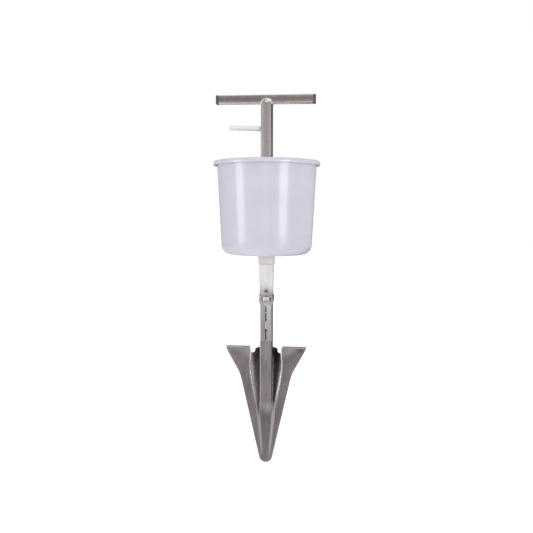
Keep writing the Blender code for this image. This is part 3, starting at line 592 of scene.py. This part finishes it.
profile = [(FIRST_RADIUS, FLOOR), (40.0 * MM, FLOOR), (LOW_RADIUS - CORNER, FLOOR)]
profile += quarter((LOW_RADIUS - CORNER, FLOOR + CORNER), CORNER, -90, 0, 10)[1:]
for share in (0.12, 0.25, 0.38, 0.5, 0.62, 0.75, 0.87, 0.95):
    profile.append((LOW_RADIUS + (TOP_RADIUS - LOW_RADIUS) * share,
                    FLOOR + CORNER + (RIM - LIP_HEIGHT - FLOOR - CORNER) * share))
profile += [(TOP_RADIUS, RIM - LIP_HEIGHT), (TOP_RADIUS + 0.35 * MM, RIM - 5.2 * MM)]
profile += quarter((TOP_RADIUS + 3.0 * MM, RIM - WALL - 2.3 * MM), 2.3 * MM, 165, 90, 3)
profile += quarter((RIM_RADIUS - WALL - 1.4 * MM, RIM - WALL - 1.4 * MM), 1.4 * MM, 90, 0, 4)
profile += [(RIM_RADIUS - WALL, RIM - LIP_HEIGHT)]

bpy.ops.object.select_all(action="DESELECT")
bpy.ops.mesh.primitive_circle_add(vertices=144, radius=profile[0][0], location=(0.0, 0.0, FLOOR))
hopper = new_piece("hopper_bucket")
bpy.ops.object.transform_apply(location=True, rotation=True, scale=True)
edit(hopper, "EDGE")
bpy.ops.mesh.select_all(action="SELECT")
draw_rings(steps_between(profile))
bpy.ops.mesh.select_all(action="DESELECT")
pick(hopper, lambda middle, _: middle.xy.length < FIRST_RADIUS + 0.2 * MM and middle.z < FLOOR + MM, "edges")
bpy.ops.mesh.edge_face_add()
face_outwards(hopper)
leave()
print("bucket profile of", len(profile), "rings")

# %% [markdown]
# The drawn line is the outside of the bucket and, where the rim rolls over, the hollow under the
# rim. Solidify grows the wall away from it, to the inside of the bucket and to the outside of the
# rim. A union adds the square neck, and cuts make room for the column and the flange's bolts.

# %% Bucket wall, neck and holes
wall = hopper.modifiers.new("wall", "SOLIDIFY")
wall.thickness = WALL
wall.offset = -1.0
wall.use_even_offset = True
round_edges(hopper, LIP_ROUNDING, 3, 60.0)
apply_all(hopper)


def helper_box(name, side, low, high, corner):
    """A square block with round upright edges, to join to a piece or to cut it."""
    bpy.ops.object.select_all(action="DESELECT")
    bpy.ops.mesh.primitive_cube_add(size=1.0, location=(0.0, 0.0, (low + high) / 2))
    block = new_piece(name)
    block.scale = (side, side, high - low)
    bpy.ops.object.transform_apply(location=True, rotation=True, scale=True)
    edit(block, "EDGE")
    pick(block, lambda middle, _: middle.x ** 2 > (0.3 * side) ** 2 < middle.y ** 2, "edges")
    bpy.ops.mesh.bevel(offset=corner, segments=6, affect="EDGES")
    leave()
    return block


def combine(target, tool, operation):
    """Joins or cuts with another object, which is then gone."""
    modifier = target.modifiers.new(operation.lower(), "BOOLEAN")
    modifier.operation = operation
    modifier.object = tool
    only(target)
    bpy.ops.object.modifier_apply(modifier=modifier.name)
    bpy.data.objects.remove(tool)


NECK_SIDE, NECK_CORNER = 28.9 * MM, 3.5 * MM
BORE_SIDE, BORE_CORNER = 25.9 * MM, 3.0 * MM
BOLT_HOLE_RADIUS = 2.8 * MM
neck = helper_box("neck", NECK_SIDE, hopper_low.z, FLOOR + WALL / 2, NECK_CORNER)
combine(hopper, neck, "UNION")
bore = helper_box("bore", BORE_SIDE, hopper_low.z - 5 * MM, FLOOR + 8 * MM, BORE_CORNER)
combine(hopper, bore, "DIFFERENCE")
for number in range(1, 5):
    low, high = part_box(f"flange_nut_{number}")
    centre = (low + high) / 2
    bpy.ops.mesh.primitive_cylinder_add(vertices=24, radius=BOLT_HOLE_RADIUS, depth=20 * MM,
                                        location=(centre.x, centre.y, FLOOR))
    combine(hopper, new_piece("bolt_hole"), "DIFFERENCE")
finish(hopper, hopper_plastic, "milky_plastic", "frame", ("hopper",), 40.0, flat=False)

# %% [markdown]
# ## The lever's sleeve
# A length of soft milky tube is pushed over the lever's rod. It grips the rod, so it has a faint
# collar at its cut end and a rounded closed tip. The solid is copied and only its cut edge is
# softened more than a metal edge would be.

# %% Sleeve
sleeve = fine_copy("lever_sleeve", 0.5 * MM, 3, "lever_sleeve_tube")
finish(sleeve, sleeve_plastic, "milky_plastic", "lift", ("lever_sleeve",), 40.0)

# %% [markdown]
# ## The boot and its collar
# The boot is soft, so it is drawn as a ring of edges through many sections. It narrows from the
# bucket's neck to the steel tube, bulges a little where it is free, is pinched where the clamp sits
# and rolls outward at its lower lip. The ring starts as a square with round corners: a plane whose
# four corners are bevelled.


# %% Drawing a square sleeve
def square_ring(name, side, corner, height):
    """A closed ring of edges round a square with round corners."""
    bpy.ops.object.select_all(action="DESELECT")
    bpy.ops.mesh.primitive_plane_add(size=side, location=(0.0, 0.0, height))
    ring = new_piece(name)
    bpy.ops.object.transform_apply(location=True, rotation=True, scale=True)
    edit(ring, "VERT")
    bpy.ops.mesh.select_all(action="SELECT")
    bpy.ops.mesh.bevel(offset=corner, segments=6, affect="VERTICES")
    bpy.ops.mesh.select_all(action="SELECT")
    bpy.ops.mesh.delete(type="ONLY_FACE")
    bpy.ops.mesh.select_mode(type="EDGE")
    bpy.ops.mesh.select_all(action="SELECT")
    return ring


def square_sleeve(name, sections, corner, wall_thickness):
    """A sleeve drawn through (side, height) sections, with its wall growing inward."""
    sleeve_ = square_ring(name, sections[0][0], corner, sections[0][1])
    draw_rings(steps_between(sections))
    face_outwards(sleeve_)
    leave()
    solid = sleeve_.modifiers.new("wall", "SOLIDIFY")
    solid.thickness = wall_thickness
    solid.offset = -1.0
    solid.use_even_offset = True
    return sleeve_


# %% Boot
boot_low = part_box("feed_boot")[0]
band_low, band_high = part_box("clamp_band")
BOOT_SECTIONS = [(29.15, 0.0), (29.25, 0.8), (29.0, 1.9), (28.95, 4.5), (28.9, 7.0), (28.72, 8.2),
                 (28.7, 14.0), (28.72, 19.5), (28.95, 20.8), (29.05, 24.0), (28.95, 29.0), (29.1, 34.0),
                 (29.3, 39.0), (29.75, 43.0), (30.2, 48.0), (30.45, 54.0), (30.8, 60.0), (30.95, 66.0),
                 (31.35, 73.0), (31.6, 80.0), (31.9, 86.0), (32.0, 92.0), (32.0, 107.0)]
BOOT_CORNER, BOOT_WALL = 5.4 * MM, 0.68 * MM
boot = square_sleeve("feed_boot_sleeve",
                     [(side * MM, boot_low.z + rise * MM) for side, rise in BOOT_SECTIONS],
                     BOOT_CORNER, BOOT_WALL)
smooth = boot.modifiers.new("soft", "SUBSURF")
smooth.levels = smooth.render_levels = 1
finish(boot, boot_silicone, "boot_silicone", "frame", ("feed_boot",), 60.0, flat=False)

# %% Collar
collar_low, collar_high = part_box("neck_collar")
collar_side = collar_high.x - collar_low.x
COLLAR_SECTIONS = [(-1.6, 0.0), (-1.1, 0.35), (-0.8, 1.0), (-0.8, 2.2), (-1.1, 2.9), (-0.6, 18.0),
                   (-0.4, 20.0), (-0.4, 21.0), (-0.9, 21.6)]
COLLAR_CORNER, COLLAR_WALL = 7.0 * MM, 1.25 * MM
collar = square_sleeve("neck_collar_ring",
                       [(collar_side + side * MM, collar_low.z + rise * MM)
                        for side, rise in COLLAR_SECTIONS], COLLAR_CORNER, COLLAR_WALL)
finish(collar, collar_plastic, "collar_plastic", "frame", ("neck_collar",), 40.0)

# %% [markdown]
# ## The hose clamp
# A worm-drive clamp is a slotted band, a stamped housing spot-welded to it, and a screw whose thread
# runs in the band's slots. The band's free tail comes out of the housing and lies over the band, and
# that overlap with its row of slots is what tells a hose clamp from a plain strap.

# %% Clamp band, tail and slots
band = fine_copy("clamp_band", 0.15 * MM, 2, "clamp_band_strap")
finish(band, clamp_bright, "clamp_steel", "frame", ("clamp_band",))

housing_low, housing_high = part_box("clamp_housing")
band_middle = (band_low.z + band_high.z) / 2
TAIL_THICK, TAIL_HEIGHT, TAIL_CORNER = 0.6 * MM, 8.6 * MM, 2.6 * MM
SLOT_SIZE, SLOT_PITCH = (0.8 * MM, 4 * MM, 5.4 * MM), 1.9 * MM
SLOT_LEAN = radians(8)
tail_start = housing_low.x + 2.0 * MM
tail_end = band_low.x + 3.2 * MM
bpy.ops.object.select_all(action="DESELECT")
bpy.ops.mesh.primitive_cube_add(size=1.0, location=((tail_start + tail_end) / 2,
                                                   band_low.y - TAIL_THICK / 2 - 0.05 * MM, band_middle))
tail = new_piece("clamp_tail")
tail.scale = (tail_start - tail_end, TAIL_THICK, TAIL_HEIGHT)
bpy.ops.object.transform_apply(location=True, rotation=True, scale=True)
edit(tail, "EDGE")
pick(tail, lambda middle, _: middle.x < tail_end + 0.1 * MM and abs(middle.z - band_middle) > 4 * MM, "edges")
bpy.ops.mesh.bevel(offset=TAIL_CORNER, segments=5, affect="EDGES")
leave()
for step in range(3):
    bpy.ops.mesh.primitive_cube_add(size=1.0, location=(tail_end + 2.2 * MM + SLOT_PITCH * step,
                                                       band_low.y, band_middle))
    slot_tool = new_piece("tail_slot")
    slot_tool.scale = SLOT_SIZE
    slot_tool.rotation_euler = (0.0, SLOT_LEAN, 0.0)
    combine(tail, slot_tool, "DIFFERENCE")
round_edges(tail, 0.12 * MM)
finish(tail, clamp_bright, "clamp_steel")

# %% Clamp housing and its feet
FOOT_SIZE, FOOT_REACH = (9.0 * MM, 1.0 * MM, 1.7 * MM), 4.9 * MM
housing = fine_copy("clamp_housing", 0.2 * MM, 2, "clamp_housing_shell")
for side in (-1, 1):
    bpy.ops.object.select_all(action="DESELECT")
    middle_x = (housing_low.x + housing_high.x) / 2
    bpy.ops.mesh.primitive_cube_add(size=1.0, location=(middle_x, housing_high.y - 0.7 * MM,
                                                       band_middle + side * FOOT_REACH))
    foot = new_piece(f"clamp_foot_{'upper' if side > 0 else 'lower'}")
    foot.scale = FOOT_SIZE
    bpy.ops.object.transform_apply(location=True, rotation=True, scale=True)
    round_edges(foot, 0.4 * MM, 3)
    # the feet are blackened, darker than the band and housing: painted shade round the housing
    finish(foot, dark_screw, "clamp_steel")
finish(housing, clamp_painted_glint, "clamp_steel", "frame", ("clamp_housing",))

# %% [markdown]
# ## Welds
# A hand-laid bead is a row of small overlapping puddles. One puddle is a flattened ball; it is
# copied along the joint a little closer than its own width, each copy is turned to the joint's line,
# and the copies are joined into one bead. Some beads are laid flatter, by squashing every puddle.


# %% Laying a bead
def puddle(radius):
    bpy.ops.object.select_all(action="DESELECT")
    bpy.ops.mesh.primitive_ico_sphere_add(subdivisions=2, radius=radius)
    ball = new_piece("puddle")
    edit(ball)
    bpy.ops.mesh.select_all(action="SELECT")
    bpy.ops.transform.resize(value=(0.62, 1.0, 0.9))
    leave()
    return ball


def lay_ball(model, place, turn, number, depth):
    """Copies a puddle to its place on the joint, a little larger or smaller than the last one."""
    ball = model.copy()
    ball.data = model.data.copy()
    wobble = 1.0 + 0.10 * sin(7.3 * number) + 0.06 * sin(3.1 * number)
    ball.location = place
    ball.rotation_mode = "QUATERNION"
    ball.rotation_quaternion = turn
    ball.scale = (wobble, wobble * depth, wobble)
    bpy.context.scene.collection.objects.link(ball)
    return ball


def bead(name, path, radius, material=None, spacing=0.62, depth=1.0):
    """Lays puddles along a path of points and joins them; a depth under 1 lays them flatter."""
    model = puddle(radius)
    balls = []
    carry = 0.0
    for start, end in zip(path, path[1:]):
        line = end - start
        turn = Vector((1.0, 0.0, 0.0)).rotation_difference(line)
        while carry < line.length:
            place = start + line.normalized() * carry
            balls.append(lay_ball(model, place, turn, len(balls), depth))
            carry += radius * spacing
        carry -= line.length
    bpy.data.objects.remove(model)
    bpy.ops.object.select_all(action="DESELECT")
    for ball in balls:
        ball.select_set(True)
    bpy.context.view_layer.objects.active = balls[0]
    bpy.ops.object.join()
    return finish(new_piece(name), material or weld_metal_painted_bright, "stainless", angle=60.0)


# %% Handle welds
ARCH_FOOT = bar_low.z - 3.0 * MM
arch_top = column_high.z
half_column = column_high.x
ARCH_RADIUS, SIDE_RADIUS, CAP_RADIUS = 1.9 * MM, 1.5 * MM, 3.9 * MM
CAP_FACE = 12.4 * MM
CAP_ENDS = [(-1.0 * MM, 0.7848), (8.8 * MM, 0.7866)]
for side, name in ((-1, "front"), (1, "back")):
    face = side * (bar_high.y + 1.0 * MM)
    path = []
    for step in range(15):
        angle = pi * step / 14
        path.append(Vector(((half_column - 0.6 * MM) * cos(angle), face,
                            ARCH_FOOT + 0.6 * MM + (arch_top - ARCH_FOOT) * sin(angle))))
    bead(f"handle_weld_{name}", path, ARCH_RADIUS, spacing=0.5)
    # the flat cap lies where the joint's glint is; its near-white weld metal is painted highlight
    cap = [Vector((x, side * CAP_FACE, height)) for x, height in CAP_ENDS]
    bead(f"handle_weld_cap_{name}", cap, CAP_RADIUS, spacing=0.5, depth=0.34)
for side, name in ((-1, "left"), (1, "right")):
    x = side * (half_column - 0.2 * MM)
    reach = bar_high.y - 0.5 * MM
    bead(f"handle_weld_{name}", [Vector((x, -reach, bar_low.z - 0.5 * MM)),
                                 Vector((x, reach, bar_low.z - 0.5 * MM))], SIDE_RADIUS)

# %% Seam stitches and tube welds
socket_low, socket_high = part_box("socket_tube")
seam_front = socket_low.y
STITCHES = {"upper": (0.55 * MM, 0.3264, 0.3283, 1.4 * MM),      # depth, foot, top and puddle radius
            "middle": (0.45 * MM, 0.2935, 0.3070, 0.8 * MM)}
for name, (depth, foot, top, radius) in STITCHES.items():
    ends = [Vector((0.0, seam_front + depth, height)) for height in (foot, top)]
    bead(f"seam_stitch_{name}", ends, radius)
half_tube = socket_high.x
TROUGH_WELD = [(-6.3 * MM, 0.1315), (1.5 * MM, 0.172), (12.8 * MM, 0.2265)]     # back and height
TROUGH_WELD_RADIUS = 1.1 * MM
FLANGE_WELD_RADIUS = 1.2 * MM
for side, name in ((-1, "left"), (1, "right")):
    x = side * (half_tube + 0.1 * MM)
    path = [Vector((x, y, height)) for y, height in TROUGH_WELD]
    bead(f"blade_weld_{name}", path, TROUGH_WELD_RADIUS, blade_steel)
flange_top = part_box("hopper_flange")[1].z
corner_reach = half_column + 0.3 * MM
corners = [Vector((x * corner_reach, y * corner_reach, flange_top + 0.2 * MM))
           for x, y in ((-1, -1), (1, -1), (1, 1), (-1, 1), (-1, -1))]
bead("flange_weld", corners, FLANGE_WELD_RADIUS)

# %% [markdown]
# ## The studio
# Steel looks like what it mirrors, and plastic like the light that falls on it, so a product studio
# treats the two apart. All round there is even white light for the plastic. What the steel mirrors
# is a set of large cards: grey on the left of the camera, cream on its right, dark at the far right
# and behind, a low lamp on each side and a soft box above. Here they are painted on the sky that only
# mirrors see, by direction: to the right, to the back and up.


# %% Sky
world = bpy.data.worlds.new("studio")
world.use_nodes = True
room = Wiring(world.node_tree)
right, back, up = room.split(room.node("ShaderNodeTexCoord", output="Generated"))

LEFT_CARD, RIGHT_CARD, SIDE_CARD = (0.51, 0.50, 0.56), (1.00, 0.97, 0.91), (0.10, 0.085, 0.09)
LOW_CARD, LOW_BRIGHT, HIGH_CARD = (0.27, 0.25, 0.265), (1.25, 1.21, 1.21), (0.52, 0.48, 0.46)
SOFTBOX, BACK_CARD, BACK_LOW = (1.5, 1.5, 1.5), (0.03, 0.025, 0.03), (0.62, 0.60, 0.60)
BACK_LEFT, BACK_RIGHT, GROUND = (0.42, 0.41, 0.44), (0.55, 0.53, 0.51), (0.62, 0.58, 0.61)
front = room.mix(room.between(right, -0.13, -0.01), LEFT_CARD, RIGHT_CARD)
front = room.mix(room.between(right, 0.06, 0.24), front, SIDE_CARD)
aside = abs(right + 0.06)
low_lamps = room.between(aside, 0.40, 0.52) * room.between(aside, 0.84, 0.95, 1.0, 0.0)
low_lamps = low_lamps * room.between(up, -0.34, -0.27)
low = room.mix(room.between(up, -0.44, -0.30), GROUND, LOW_CARD)
sides_low = room.mix(low_lamps, low, LOW_BRIGHT)
front = room.mix(room.between(up, -0.22, -0.13, 1.0, 0.0), front, sides_low)
front = room.mix(room.between(up, 0.17, 0.30), front, HIGH_CARD)
rear_low = room.mix(room.between(right, -0.05, 0.02), BACK_LOW, BACK_CARD)
rear = room.mix(room.between(right, -0.35, -0.12), BACK_LEFT, BACK_CARD)
rear = room.mix(room.between(right, 0.24, 0.42), rear, BACK_RIGHT)
rear = room.mix(room.between(up, -0.20, -0.10, 1.0, 0.0), rear, rear_low)
mirrored = room.mix(room.between(back, -0.15, 0.20), front, rear)
mirrored = room.mix(room.between(up, 0.60, 0.78), mirrored, SOFTBOX)
is_mirrored = room.node("ShaderNodeLightPath", output="Is Glossy Ray")
seen = room.node("ShaderNodeLightPath", output="Is Camera Ray")
plain = room.mix(seen, (0.95, 0.95, 0.95), (1.0, 1.0, 1.0))
sky = room.mix(is_mirrored, plain, mirrored)
room.put(world.node_tree.nodes["Background"].inputs["Color"], sky)
bpy.context.scene.world = world
print("sky painted")

# %% [markdown]
# Two soft lamps, one on each side of the camera, make the two stripes on the bucket. They end above
# the ground, so the stripes fade at the bucket's foot. The floor is plain white and glows a little,
# so that it never turns grey beside the white sky.


# %% Floor and lamps
bpy.ops.object.select_all(action="DESELECT")
bpy.ops.mesh.primitive_circle_add(vertices=64, radius=8.0, fill_type="NGON", location=(0.0, 0.0, -0.001))
floor = new_piece("floor")
floor.visible_glossy = False
LAMP_DISTANCE, LAMP_HEIGHT = 1.6, 0.57
paper = Finish("white_paper", (0.85, 0.85, 0.85), 1.0, 0.0, Emission_Strength=0.35)
paper.shader.inputs["Emission Color"].default_value = (1.0, 1.0, 1.0, 1.0)
floor.data.materials.append(paper.material)


def strip_lamp(name, azimuth, size, power):
    """A soft lamp at an angle from the front, aimed level at the tool's axis."""
    lamp = bpy.data.lights.new(name, "AREA")
    lamp.shape = "RECTANGLE"
    lamp.size, lamp.size_y = size
    lamp.energy = power
    lamp_object = bpy.data.objects.new(name, lamp)
    angle = radians(azimuth)
    lamp_object.location = (LAMP_DISTANCE * sin(angle), -LAMP_DISTANCE * cos(angle), LAMP_HEIGHT)
    lamp_object.rotation_euler = (pi / 2, 0.0, angle)
    lamp_object.visible_camera = False
    bpy.context.scene.collection.objects.link(lamp_object)


strip_lamp("strip_left", -57.8, (0.54, 0.66), 5.4)
strip_lamp("strip_right", 43.4, (0.55, 0.66), 6.3)
print("floor and lamps placed")
